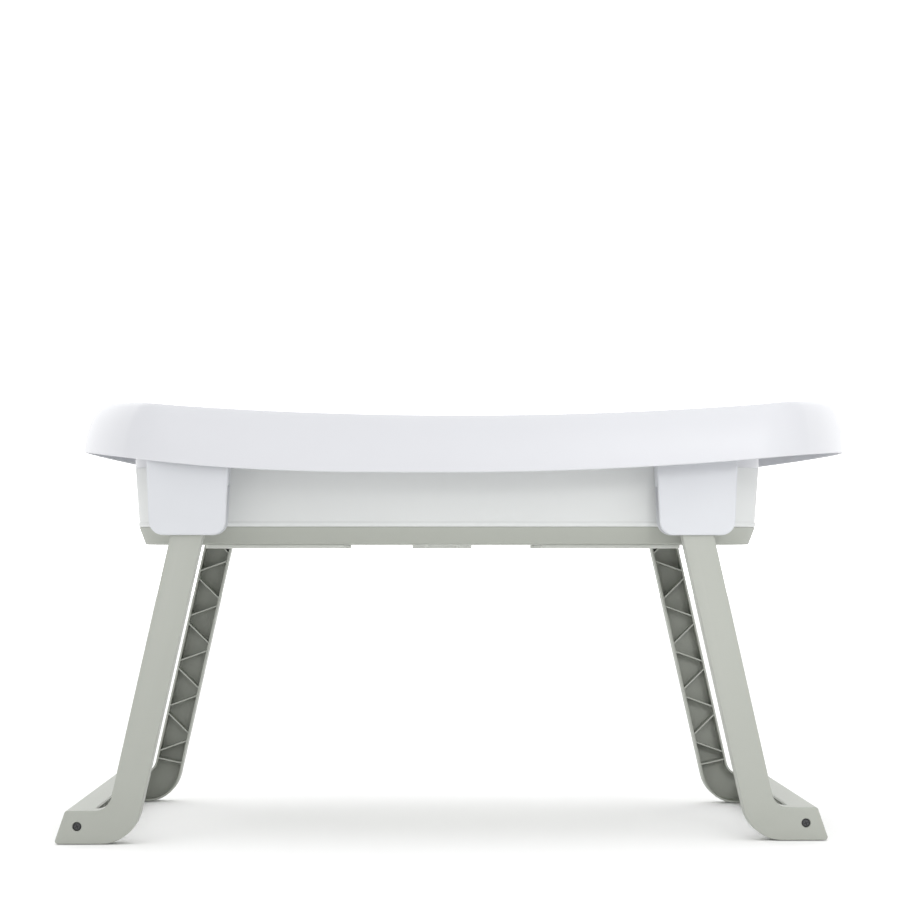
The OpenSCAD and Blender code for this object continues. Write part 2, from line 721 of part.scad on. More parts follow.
rim();
soft_wall();
housing(left, front);  // front_left_housing
housing(right, front);  // front_right_housing
housing(left, rear);  // rear_left_housing
housing(right, rear);  // rear_right_housing
housing_screws();
pivot_pin(left, front);  // front_left_pivot_pin
pivot_pin(right, front);  // front_right_pivot_pin
pivot_pin(left, rear);  // rear_left_pivot_pin
pivot_pin(right, rear);  // rear_right_pivot_pin
base_tray();
base_rails();
drain_seat();
drain_nut();
drain_plug();
drain_seal();
leg(left, front);  // left_front_leg
leg(left, rear);  // left_rear_leg
crossbar(left);  // left_crossbar
foot_screws(left);  // left_foot_screws
foot_pads(left);  // left_foot_pads
pivot_washers(left);  // left_pivot_washers
leg(right, front);  // right_front_leg
leg(right, rear);  // right_rear_leg
crossbar(right);  // right_crossbar
foot_screws(right);  // right_foot_screws
foot_pads(right);  // right_foot_pads
pivot_washers(right);  // right_pivot_washers
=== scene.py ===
import cmath
import json
import math
import bpy
import bmesh
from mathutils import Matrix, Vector


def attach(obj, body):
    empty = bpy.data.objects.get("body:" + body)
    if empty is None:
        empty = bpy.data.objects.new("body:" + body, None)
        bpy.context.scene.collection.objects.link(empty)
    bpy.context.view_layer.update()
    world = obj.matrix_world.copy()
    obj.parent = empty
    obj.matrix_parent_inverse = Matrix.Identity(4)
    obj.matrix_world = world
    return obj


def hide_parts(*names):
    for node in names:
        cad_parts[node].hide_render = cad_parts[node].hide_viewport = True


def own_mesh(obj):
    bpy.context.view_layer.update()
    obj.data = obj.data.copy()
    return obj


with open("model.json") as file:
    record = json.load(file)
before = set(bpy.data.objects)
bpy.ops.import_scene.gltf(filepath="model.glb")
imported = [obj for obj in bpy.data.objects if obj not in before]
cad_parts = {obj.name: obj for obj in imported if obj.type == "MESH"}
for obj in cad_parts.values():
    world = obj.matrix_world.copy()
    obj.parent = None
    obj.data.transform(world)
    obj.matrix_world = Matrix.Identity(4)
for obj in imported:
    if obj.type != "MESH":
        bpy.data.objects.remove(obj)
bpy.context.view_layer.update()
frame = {"nodes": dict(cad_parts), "record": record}
nodes = frame["nodes"]
scene = bpy.context.scene
mm = 0.001


def addNode(tree, kind, **facts):
    made = tree.nodes.new(kind)
    for key, value in facts.items():
        if key in made.inputs:
            made.inputs[key].default_value = value
        else:
            setattr(made, key, value)
    return made


def joined(tree, value, socket):
    if isinstance(value, (int, float, tuple)):
        socket.default_value = value
    else:
        tree.links.new(value, socket)


def spread(tree, value, *limits, kind="LINEAR"):
    made = addNode(tree, "ShaderNodeMapRange", interpolation_type=kind)
    tree.links.new(value, made.inputs["Value"])
    for key, number in zip(("From Min", "From Max", "To Min", "To Max"), limits):
        made.inputs[key].default_value = number
    return made.outputs["Result"]


def blend(tree, share, first, second):
    made = addNode(tree, "ShaderNodeMix", data_type="RGBA")
    for slot, value in ((0, share), (6, first), (7, second)):
        joined(tree, value, made.inputs[slot])
    return made.outputs[2]


def mathNode(tree, operation, first, second, clamp=False):
    made = addNode(tree, "ShaderNodeMath", operation=operation, use_clamp=clamp)
    joined(tree, first, made.inputs[0])
    joined(tree, second, made.inputs[1])
    return made.outputs["Value"]


def noise(tree, where, scale, detail, stretch=(1, 1, 1)):
    laid = addNode(tree, "ShaderNodeMapping", Scale=stretch)
    made = addNode(tree, "ShaderNodeTexNoise", Scale=scale, Detail=detail)
    tree.links.new(where, laid.inputs["Vector"])
    tree.links.new(laid.outputs["Vector"], made.inputs["Vector"])
    return made.outputs["Fac"]


print("camera and light")
view = {
    "photoSide": 900,      # pixels along each side of the photograph
    "focal": 2610,         # focal length in those pixels
    "place": (-0.050, -2.9, 0.298),
    "tilt": 2.19,          # degrees upward
    "pan": -0.692,         # degrees, negative to the right
    "sensor": 36.0,
}


def makeCamera():
    data = bpy.data.cameras.new("photo_camera")
    data.sensor_width = view["sensor"]
    data.lens = view["sensor"] * view["focal"] / view["photoSide"]
    data.clip_start = 0.05
    data.clip_end = 60
    camera = bpy.data.objects.new("photo_camera", data)
    scene.collection.objects.link(camera)
    camera.location = view["place"]
    camera.rotation_euler = (math.radians(90 + view["tilt"]), 0, math.radians(view["pan"]))
    scene.camera = camera


makeCamera()
scene.view_settings.view_transform = "Standard"
scene.view_settings.look = "None"

studio = {
    "backdrop": 2.0,       # light from behind the bath, where a white backdrop hangs
    "surround": 0.77,      # light from every other side
    "backdropSpan": (0.3, 0.93),
    "suns": [              # name, from, spread in degrees, strength
        ("key_lamp", (-0.2, -1.6, 1.05), 50, 0.32),
        ("low_lamp", (0.0, -1.6, 0.15), 30, 0.20),
        ("top_lamp", (0.0, -0.2, 3.0), 60, 0.76),
    ],
    # name, place, aim, size, cone in degrees, power
    "spot": ("side_lamp", (0.9, -3.4, 1.2), (0.42, 0.0, 0.36), 0.35, 22, 85),
}


def makeSky():
    world = bpy.data.worlds.new("studio_sky")
    world.use_nodes = True
    tree = world.node_tree
    apart = addNode(tree, "ShaderNodeSeparateXYZ")
    tree.links.new(addNode(tree, "ShaderNodeTexCoord").outputs["Generated"], apart.inputs["Vector"])
    limits = (*studio["backdropSpan"], studio["surround"], studio["backdrop"])
    shade = tree.nodes["Background"]
    shade.inputs["Color"].default_value = (1, 1, 1, 1)
    tree.links.new(spread(tree, apart.outputs["Y"], *limits, kind="SMOOTHSTEP"), shade.inputs["Strength"])
    scene.world = world


def hangLamp(data, start, aim, strength):
    data.energy = strength
    lamp = bpy.data.objects.new(data.name, data)
    scene.collection.objects.link(lamp)
    lamp.location = start
    lamp.rotation_euler = (Vector(aim) - Vector(start)).to_track_quat("-Z", "Y").to_euler()


def makeSun(name, start, spread, strength):
    data = bpy.data.lights.new(name, "SUN")
    data.angle = math.radians(spread)
    hangLamp(data, start, (0, 0, 0), strength)


def makeSpot(name, start, aim, size, cone, strength):
    data = bpy.data.lights.new(name, "SPOT")
    data.shadow_soft_size = size
    data.spot_size = math.radians(cone)
    data.spot_blend = 1.0
    hangLamp(data, start, aim, strength)


makeSky()
for sunFacts in studio["suns"]:
    makeSun(*sunFacts)
makeSpot(*studio["spot"])

print("finishes")


# turns a screen colour of 0 to 255 into a linear one
def linear(c):
    return tuple(v / 255 / 12.92 if v / 255 <= 0.04045 else ((v / 255 + 0.055) / 1.055) ** 2.4 for v in c)


wear = {
    "driftScale": 7.0,                      # of the melt's drift of colour
    "edgeSpan": (0.51, 0.58),               # pointiness at which an edge begins to pale and is palest: part wear, part painted highlight
    # the white that edges pale towards, part wear and part painted highlight
    "paleEdge": (0.95, 0.95, 0.94, 1),
    "soilTint": (0.16, 0.15, 0.12, 1), "soilHeight": 0.07, "soilScale": 40.0,
    "alongStretch": (32, 900, 900), "alongSpan": (0.64, 0.72),      # scuffs along the bath
    "upStretch": (1100, 1100, 45), "upSpan": (0.66, 0.74),          # upright scuffs
    "sheenDrift": 0.14, "reliefDepth": 0.0004,
}


# Moulded material: the melt's slow drift of colour, the mould's grain, paler edges that are part wear and
# part painted highlight, fine scuffs from handling and, on what stands on the floor, a little soil.
def moulded(name, colour, roughness, grain, bump, mottle=0.012, specular=0.5, edge=0.06, scuff=0.10,
            soil=0.0, sheen=0.0):
    material = bpy.data.materials.new(name)
    material.use_nodes = True
    tree = material.node_tree
    shader = tree.nodes["Principled BSDF"]
    shader.inputs["Specular IOR Level"].default_value = specular
    shader.inputs["Sheen Weight"].default_value = sheen
    where = addNode(tree, "ShaderNodeTexCoord").outputs["Object"]
    fine = noise(tree, where, grain, 2.0)
    plain = linear(colour)
    tint = blend(tree, spread(tree, noise(tree, where, wear["driftScale"], 3.0), 0.3, 0.7, 0, 1),
                 (*[v * (1 - mottle) for v in plain], 1), (*[min(1, v * (1 + mottle)) for v in plain], 1))
    # edges paled towards white by pointiness: part wear, part painted highlight
    point = addNode(tree, "ShaderNodeNewGeometry").outputs["Pointiness"]
    tint = blend(tree, spread(tree, point, *wear["edgeSpan"], 0, edge), tint, wear["paleEdge"])
    if soil:
        height = addNode(tree, "ShaderNodeSeparateXYZ")
        tree.links.new(where, height.inputs["Vector"])
        patchy = spread(tree, noise(tree, where, wear["soilScale"], 4.0), 0.3, 0.7, 0.4, 1)
        low = spread(tree, height.outputs["Z"], 0.0, wear["soilHeight"], soil, 0)
        tint = blend(tree, mathNode(tree, "MULTIPLY", low, patchy), tint, wear["soilTint"])
    tree.links.new(tint, shader.inputs["Base Color"])
    along = spread(tree, noise(tree, where, 1.0, 1.0, wear["alongStretch"]), *wear["alongSpan"], 0, scuff)
    upward = spread(tree, noise(tree, where, 1.0, 1.0, wear["upStretch"]), *wear["upSpan"], 0, scuff)
    scuffs = mathNode(tree, "ADD", along, upward, True)
    drift = roughness * wear["sheenDrift"]
    polish = spread(tree, fine, 0, 1, roughness - drift, roughness + drift)
    tree.links.new(mathNode(tree, "ADD", polish, scuffs, True), shader.inputs["Roughness"])
    relief = addNode(tree, "ShaderNodeBump", Strength=bump, Distance=wear["reliefDepth"])
    tree.links.new(mathNode(tree, "ADD", fine, scuffs, True), relief.inputs["Height"])
    tree.links.new(relief.outputs["Normal"], shader.inputs["Normal"])
    return material


# edge sets how far each finish's edges pale: part wear, part painted highlight
finish = {
    "rimWhite": moulded("rim_white", (210, 211, 215), 0.38, 900, 0.05, specular=0.35),
    "housingWhite": moulded("housing_white", (208, 210, 214), 0.40, 1100, 0.06, specular=0.35),
    "softGrey": moulded("soft_grey", (217, 219, 218), 0.62, 700, 0.10, sheen=0.1, edge=0.02),
    "baseGrey": moulded("base_grey", (164, 167, 159), 0.55, 1400, 0.18),
    "railGrey": moulded("rail_grey", (214, 216, 211), 0.55, 1400, 0.18),
    "legGrey": moulded("leg_grey", (166, 169, 161), 0.52, 1500, 0.20, edge=0.08, soil=0.07),
    "drainWhite": moulded("drain_white", (228, 229, 231), 0.32, 900, 0.05),
    "padRubber": moulded("pad_rubber", (96, 98, 97), 0.78, 900, 0.35, mottle=0.05, soil=0.3),
    "blackSteel": moulded("black_steel", (46, 47, 50), 0.42, 2200, 0.15, mottle=0.06, edge=0.05, scuff=0.2),
    "plainSteel": moulded("plain_steel", (170, 171, 174), 0.34, 2600, 0.12, mottle=0.04, edge=0.0, scuff=0.2),
}
finish["plainSteel"].node_tree.nodes["Principled BSDF"].inputs["Metallic"].default_value = 1.0

finishOfSlot = {
    "rim_plastic": "rimWhite", "soft_rubber": "softGrey", "housing_plastic": "housingWhite",
    "screw_metal": "blackSteel", "pin_steel": "plainSteel", "base_plastic": "baseGrey",
    "rail_plastic": "railGrey", "drain_plastic": "drainWhite", "seal_rubber": "padRubber",
    "leg_plastic": "legGrey",
}
for part in frame["record"]["subparts"]:
    coats = nodes[part["node"]].data.materials
    coats.clear()
    coats.append(finish[finishOfSlot[part["material_slot"]]])

# Shapes are worked out in millimetres as (points, faces) and become meshes in metres.
place = {
    "legsX": -23.9, "tubX": -18.7,
    "lane": {1: 186.0, -1: 213.0},      # near face of the right frame's legs and of the left frame's
    "pivotX": 255.2, "pivotZ": 345.0, "toeX": 395.7,
    "legDepth": 25.0, "washer": 2.0,
}
pivot = (place["pivotX"], place["pivotZ"])
sides = ((-1, "left"), (1, "right"))
fourCorners = [(*side, *face) for side in sides for face in ((1, "front"), (-1, "rear"))]


def addMesh(name, shell, material=None):
    points, faces = shell
    mesh = bpy.data.meshes.new(name)
    mesh.from_pydata([(x * mm, y * mm, z * mm) for x, y, z in points], [], faces)
    piece = bpy.data.objects.new(name, mesh)
    scene.collection.objects.link(piece)
    if material:
        piece.data.materials.append(finish[material])
    return piece


def faceOut(piece):
    work = bmesh.new()
    work.from_mesh(piece.data)
    bmesh.ops.recalc_face_normals(work, faces=work.faces)
    work.to_mesh(piece.data)
    work.free()


def settle(piece):
    bpy.context.view_layer.update()
    shaped = piece.evaluated_get(bpy.context.evaluated_depsgraph_get())
    mesh = bpy.data.meshes.new_from_object(shaped)
    old = piece.data
    piece.modifiers.clear()
    piece.data = mesh
    bpy.data.meshes.remove(old)
    mesh.name = piece.name


def shellOf(piece):
    points = [tuple(v.co / mm) for v in piece.data.vertices]
    faces = [tuple(f.vertices) for f in piece.data.polygons]
    data = piece.data
    bpy.data.objects.remove(piece)
    bpy.data.meshes.remove(data)
    return points, faces


def together(*shells):
    points, faces = [], []
    for shellPoints, shellFaces in shells:
        base = len(points)
        points.extend(shellPoints)
        faces.extend(tuple(base + i for i in face) for face in shellFaces)
    return points, faces


def cutAway(shell, *cutters):
    piece = addMesh("cut_work", shell)
    faceOut(piece)
    for cutter in cutters:
        knife = addMesh("cut_knife", cutter)
        faceOut(knife)
        change = piece.modifiers.new("cut", "BOOLEAN")
        change.operation = "DIFFERENCE"
        change.solver = "EXACT"
        change.object = knife
        settle(piece)
        shellOf(knife)
    return shellOf(piece)


# smooth faces that meet under the angle, with the flat ones keeping their flat look
def smooth(piece, angle=34):
    faceOut(piece)
    piece.data.shade_smooth()
    piece.data.set_sharp_from_angle(angle=math.radians(angle))
    weigh = piece.modifiers.new("weigh", "WEIGHTED_NORMAL")
    weigh.keep_sharp = True
    settle(piece)


def belong(piece, body, replaced):
    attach(piece, body)
    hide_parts(replaced)


def makePiece(name, shell, body, slotName, replaced):
    piece = addMesh(name, shell, finishOfSlot[slotName])
    smooth(piece)
    belong(piece, body, replaced)


def loft(rings, closed=False):
    n = len(rings[0])
    points = [p for ring in rings for p in ring]
    faces = []
    for j in range(len(rings) if closed else len(rings) - 1):
        m = (j + 1) % len(rings)
        for i in range(n):
            k = (i + 1) % n
            faces.append((j * n + i, j * n + k, m * n + k, m * n + i))
    if not closed:
        faces.append(tuple(range(n)))
        faces.append(tuple(range((len(rings) - 1) * n, len(rings) * n)))
    return points, faces


def quarterTurns(steps):
    return [math.pi / 2 * k / steps for k in range(steps + 1)]


# a closed outline of corners (x, z, radius), anticlockwise, each side moved inward by the inset
def roundedOutline(corners, inset=0.0, steps=8):
    outline = []
    for i, corner in enumerate(corners):
        a = complex(*corners[i - 1][:2])
        p = complex(*corner[:2])
        b = complex(*corners[(i + 1) % len(corners)][:2])
        u = (p - a) / abs(p - a)
        v = (b - p) / abs(b - p)
        turn = cmath.phase(v / u)
        q = p + inset * 1j * (u + v) / (1 + (u.conjugate() * v).real)
        if corner[2] == 0:
            outline.append((q.real, q.imag))
            continue
        side = 1 if turn > 0 else -1
        radius = max(corner[2] - inset, 0.15) if turn > 0 else corner[2] + inset
        centre = q - radius * math.tan(abs(turn) / 2) * u + side * radius * 1j * u
        count = max(1, math.ceil(steps * abs(turn) / (math.pi / 2)))
        for k in range(count + 1):
            t = turn * k / count
            spot = centre - side * radius * (math.cos(t) * 1j * u - math.sin(t) * u)
            outline.append((spot.real, spot.imag))
    return outline


def boxOutline(x0, x1, z0, z1):
    return [(x0, z0), (x1, z0), (x1, z1), (x0, z1)]


def centredBox(length, width, cornerR, x=0.0, y=0.0):
    return [(x + a * length / 2, y + b * width / 2, cornerR) for a, b in boxOutline(-1, 1, -1, 1)]


# an outline of x and z carried forward from f0 to f1, with both edges rounded
def slab(corners, f0, f1, edge=0.5, steps=3):
    rings = []
    for end, towards in ((f0, 1), (f1, -1)):
        part = []
        for t in quarterTurns(steps):
            inset = edge * (1 - math.sin(t))
            depth = end + towards * edge * (1 - math.cos(t))
            part.append([(x, depth, z) for x, z in roundedOutline(corners, inset)])
        rings.extend(part if towards > 0 else part[::-1])
    return loft(rings)


def plainSlab(outline, f0, f1):
    return loft([[(x, f, z) for x, z in outline] for f in (f0, f1)])


# a turned piece about the forward line through (x, z): profile of (radius, forward)
def spun(profile, x, z, count=48, closed=False):
    turns = [2 * math.pi * k / count for k in range(count)]
    return loft([[(x + r * math.cos(t), f, z + r * math.sin(t)) for t in turns] for r, f in profile], closed)


def rod(x, z, r, f0, f1, bevel=0.0):
    if bevel == 0:
        return spun([(r, f0), (r, f1)], x, z)
    return spun([(r - bevel, f0), (r, f0 + bevel), (r, f1 - bevel), (r - bevel, f1)], x, z)


# a turned piece about the vertical line through (cx, cy): profile of (radius, height)
def turned(profile, cx, cy, count=96, closed=True):
    turns = [2 * math.pi * k / count for k in range(count)]
    rings = [[(cx + r * math.cos(t), cy + r * math.sin(t), z) for t in turns] for r, z in profile]
    return loft(rings, closed)


# puts a shell that is drawn for one corner, as (outward, forward from the lane, up), at its corner
def atCorner(shell, side, face):
    points, faces = shell
    lane = place["lane"][side]
    return [(place["legsX"] + side * x, -face * (lane + f), z) for x, f, z in points], faces


print("node trees")


def startTree(name, sockets):
    tree = bpy.data.node_groups.new(name, "GeometryNodeTree")
    tree.interface.new_socket("Geometry", in_out="INPUT", socket_type="NodeSocketGeometry")
    for socketName, kind in sockets:
        tree.interface.new_socket(socketName, in_out="INPUT", socket_type="NodeSocket" + kind)
    tree.interface.new_socket("Geometry", in_out="OUTPUT", socket_type="NodeSocketGeometry")
    return tree, addNode(tree, "NodeGroupInput"), addNode(tree, "NodeGroupOutput")


def endTree(tree, given, ended, geometry):
    real = addNode(tree, "GeometryNodeRealizeInstances")
    paint = addNode(tree, "GeometryNodeSetMaterial")
    tree.links.new(geometry, real.inputs["Geometry"])
    tree.links.new(real.outputs["Geometry"], paint.inputs["Geometry"])
    tree.links.new(given.outputs["Material"], paint.inputs["Material"])
    tree.links.new(paint.outputs["Geometry"], ended.inputs["Geometry"])


# a row of copies of the piece, every other one turned in its own way
def makeRowTree():
    tree, given, ended = startTree("row_of_copies", [
        ("Count", "Int"), ("Start", "Vector"), ("Step", "Vector"), ("Turn", "Vector"),
        ("Other turn", "Vector"), ("Material", "Material")])
    link = tree.links.new
    row = addNode(tree, "GeometryNodeMeshLine", mode="OFFSET")
    link(given.outputs["Count"], row.inputs["Count"])
    link(given.outputs["Start"], row.inputs["Start Location"])
    link(given.outputs["Step"], row.inputs["Offset"])
    index = addNode(tree, "GeometryNodeInputIndex")
    odd = mathNode(tree, "MODULO", index.outputs["Index"], 2)
    pick = addNode(tree, "ShaderNodeMix", data_type="VECTOR")
    link(odd, pick.inputs["Factor"])
    link(given.outputs["Turn"], pick.inputs[4])
    link(given.outputs["Other turn"], pick.inputs[5])
    turnTo = addNode(tree, "FunctionNodeEulerToRotation")
    link(pick.outputs[1], turnTo.inputs["Euler"])
    copies = addNode(tree, "GeometryNodeInstanceOnPoints")
    link(row.outputs["Mesh"], copies.inputs["Points"])
    link(given.outputs["Geometry"], copies.inputs["Instance"])
    link(turnTo.outputs["Rotation"], copies.inputs["Rotation"])
    endTree(tree, given, ended, copies.outputs["Instances"])
    return tree


# what each point tells the saddle's rule
saddleKeys = ("saddle_at", "top_share", "low_share")


# lifts every point of a level ring by the saddle's rule
def makeSaddleTree():
    sockets = [("Half length", "Float")]
    for edge in ("Top", "Low"):
        sockets += [(edge + key, "Float") for key in (" middle", " head rise", " foot rise", " head power")]
    tree, given, ended = startTree("saddle_rule", sockets + [("Material", "Material")])
    link = tree.links.new
    reads = {}
    for key in saddleKeys:
        read = addNode(tree, "GeometryNodeInputNamedAttribute", data_type="FLOAT", Name=key)
        reads[key] = read.outputs["Attribute"]
    lifts = []
    for edge, shareKey in (("Top", "top_share"), ("Low", "low_share")):
        off = mathNode(tree, "SUBTRACT", reads["saddle_at"], given.outputs[edge + " middle"])
        share = mathNode(tree, "DIVIDE", mathNode(tree, "ABSOLUTE", off, 0), given.outputs["Half length"])
        onHead = mathNode(tree, "LESS_THAN", off, 0)
        onFoot = mathNode(tree, "SUBTRACT", 1, onHead)
        headCurve = mathNode(tree, "POWER", share, given.outputs[edge + " head power"])
        headLift = mathNode(tree, "MULTIPLY", headCurve, given.outputs[edge + " head rise"])
        footCurve = mathNode(tree, "POWER", share, 2)
        footLift = mathNode(tree, "MULTIPLY", footCurve, given.outputs[edge + " foot rise"])
        lift = mathNode(tree, "ADD", mathNode(tree, "MULTIPLY", headLift, onHead),
                        mathNode(tree, "MULTIPLY", footLift, onFoot))
        lifts.append(mathNode(tree, "MULTIPLY", lift, reads[shareKey]))
    up = addNode(tree, "ShaderNodeCombineXYZ")
    link(mathNode(tree, "ADD", *lifts), up.inputs["Z"])
    moved = addNode(tree, "GeometryNodeSetPosition")
    link(given.outputs["Geometry"], moved.inputs["Geometry"])
    link(up.outputs["Vector"], moved.inputs["Offset"])
    endTree(tree, given, ended, moved.outputs["Geometry"])
    return tree


trees = {"row": makeRowTree(), "saddle": makeSaddleTree()}


def grow(piece, treeName, **values):
    change = piece.modifiers.new(treeName, "NODES")
    change.node_group = trees[treeName]
    wanted = {key.lower(): value for key, value in values.items()}
    for item in trees[treeName].interface.items_tree:
        key = item.name.lower().replace(" ", "")
        if item.in_out == "INPUT" and key in wanted:
            change[item.identifier] = wanted[key]
    settle(piece)


def rowOf(shell, material, count, start, step, turn=(0, 0, 0), otherTurn=(0, 0, 0)):
    piece = addMesh("row_work", shell)
    grow(piece, "row", count=count, start=[v * mm for v in start], step=[v * mm for v in step],
         turn=[math.radians(v) for v in turn], otherTurn=[math.radians(v) for v in otherTurn],
         material=finish[material])
    return shellOf(piece)


print("rim")
rim = {
    "halfLength": 417.5, "halfWidth": 254.0, "cornerR": 66.0, "endR": 420.0,
    "topZ": 435.5, "topRise": 21.3, "topMiddle": -9.9, "wall": 2.8,
    "lowZ": 376.5, "lowFootRise": 24.0, "lowHeadRise": 33.0, "lowHeadPower": 3.0,
    "headRound": 25.0, "footRound": 16.0, "sideRound": 18.0,
    "headPower": 1.8, "footPower": 2.2, "sidePower": 2.0,
    "lipRound": 14.0, "lipDrop": 12.0, "hem": 1.4,
    "bossR": 5.5, "bossBore": 2.0, "bossSink": 1.2, "bossLow": 424.0, "screwSpread": 41.0, "screwMid": 261.3,
}
tub = {
    "halfLength": 340.0, "halfWidth": 180.0, "cornerR": 100.0, "endR": 900.0,
    "softTop": 385.0, "softLow": 322.0, "softDraft": 4.6, "softWall": 2.6, "softGap": 0.3,
    "baseLow": 303.5, "baseDraft": 5.9, "baseWall": 3.0,
}


# where the corner's arc meets the bowed end and the straight side
def planCorner(facts):
    halfLength, halfWidth, cornerR, endR = (facts[k] for k in ("halfLength", "halfWidth", "cornerR", "endR"))
    tilt = math.asin((halfWidth - cornerR) / (endR - cornerR))
    cornerX = halfLength - endR + math.sqrt((endR - cornerR) ** 2 - (halfWidth - cornerR) ** 2)
    return halfLength, halfWidth, cornerR, endR, tilt, cornerX


# stations round the plan, each (x, y, normal x, normal y), from the foot end anticlockwise
def planStations(facts, endSteps=14, arcSteps=20, sideSteps=44):
    halfLength, halfWidth, cornerR, endR, tilt, cornerX = planCorner(facts)
    quarter = []
    for k in range(endSteps):
        t = tilt * k / endSteps
        nx, ny = math.cos(t), math.sin(t)
        quarter.append((halfLength - endR + endR * nx, endR * ny, nx, ny))
    for k in range(arcSteps):
        t = tilt + (math.pi / 2 - tilt) * k / arcSteps
        nx, ny = math.cos(t), math.sin(t)
        quarter.append((cornerX + cornerR * nx, halfWidth - cornerR + cornerR * ny, nx, ny))
    for k in range(sideSteps // 2):
        quarter.append((cornerX * (1 - 2 * k / sideSteps), halfWidth, 0.0, 1.0))
    half = quarter + [(0.0, halfWidth, 0.0, 1.0)] + [(-x, y, -nx, ny) for x, y, nx, ny in quarter[:0:-1]]
    return half + [(-x, -y, -nx, -ny) for x, y, nx, ny in half]


# the station of the tub's plan that lies in the same direction from the tub's middle
def meetTub(x, y):
    halfLength, halfWidth, cornerR, endR, tilt, cornerX = planCorner(tub)
    endTurn = math.atan2(endR * math.sin(tilt), cornerX + cornerR * math.cos(tilt))
    turn = math.atan2(abs(y), abs(x))
    way = cmath.rect(1, turn)
    if turn < math.atan2(halfWidth, cornerX):
        centre, radius = complex(cornerX, halfWidth - cornerR), cornerR
        if turn < endTurn:
            centre, radius = complex(halfLength - endR), endR
        along = (way.conjugate() * centre).real
        spot = way * (along + math.sqrt(along ** 2 - abs(centre) ** 2 + radius ** 2))
        normal = (spot - centre) / radius
    else:
        spot, normal = way * halfWidth / math.sin(turn), 1j
    sx, sy = math.copysign(1, x), math.copysign(1, y)
    return sx * spot.real + place["tubX"], sy * spot.imag, sx * normal.real, sy * normal.imag


rimPlan = planStations(rim, 34, 16)
tubPlan = [(x + place["tubX"], y, nx, ny) for x, y, nx, ny in planStations(tub)]
lipPlan = [meetTub(x - place["tubX"], y) for x, y, nx, ny in rimPlan]


def outFrom(station, distance):
    return station[0] + station[2] * distance, station[1] + station[3] * distance


def topAt(x):
    return rim["topZ"] + rim["topRise"] * ((x - rim["topMiddle"]) / rim["halfLength"]) ** 2


# where the two screws over each housing stand: the first one's x, and their y
screwRows = [(place["legsX"] + side * rim["screwMid"] - rim["screwSpread"] / 2,
              face * (place["lane"][side] + place["legDepth"] / 2)) for side in (-1, 1) for face in (-1, 1)]


# each ring point is (x, y, level z, where the saddle is read, share of the top's rise, share of the
# low edge's rise)
def skirtRing(t, wall):
    ring = []
    for station in rimPlan:
        nx = station[2]
        end = "head" if nx < 0 else "foot"
        width = rim["sideRound"] + (rim[end + "Round"] - rim["sideRound"]) * nx * nx
        power = 2 / (rim["sidePower"] + (rim[end + "Power"] - rim["sidePower"]) * nx * nx)
        x, y = outFrom(station, -width + (width - wall) * math.cos(t) ** power)
        share = math.sin(t) ** power
        low = rim["lowZ"] + rim["hem"]
        ring.append((x, y, low + (rim["topZ"] - wall - low) * share, station[0], share, 1 - share))
    return ring


def hemRing(t):
    ring = []
    for station in rimPlan:
        x, y = outFrom(station, -rim["wall"] / 2 + rim["wall"] / 2 * math.cos(t))
        ring.append((x, y, rim["lowZ"] + rim["hem"] - rim["hem"] * math.sin(t), station[0], 0.0, 1.0))
    return ring


def lipRing(t, wall):
    ring = []
    for station in lipPlan:
        x, y = outFrom(station, -rim["wall"] + wall + rim["lipRound"] * (1 - math.cos(t)))
        ring.append((x, y, rim["topZ"] - wall - rim["lipDrop"] * (1 - math.sin(t)), x, 1.0, 0.0))
    return ring


def tubRing(distance, z, plan=tubPlan):
    return [(*outFrom(station, distance), z) for station in plan]


# the rings at these shares of the way from the first to the second
def between(first, second, *shares):
    return [[tuple(a + (b - a) * share for a, b in zip(p, q)) for p, q in zip(first, second)]
            for share in shares]


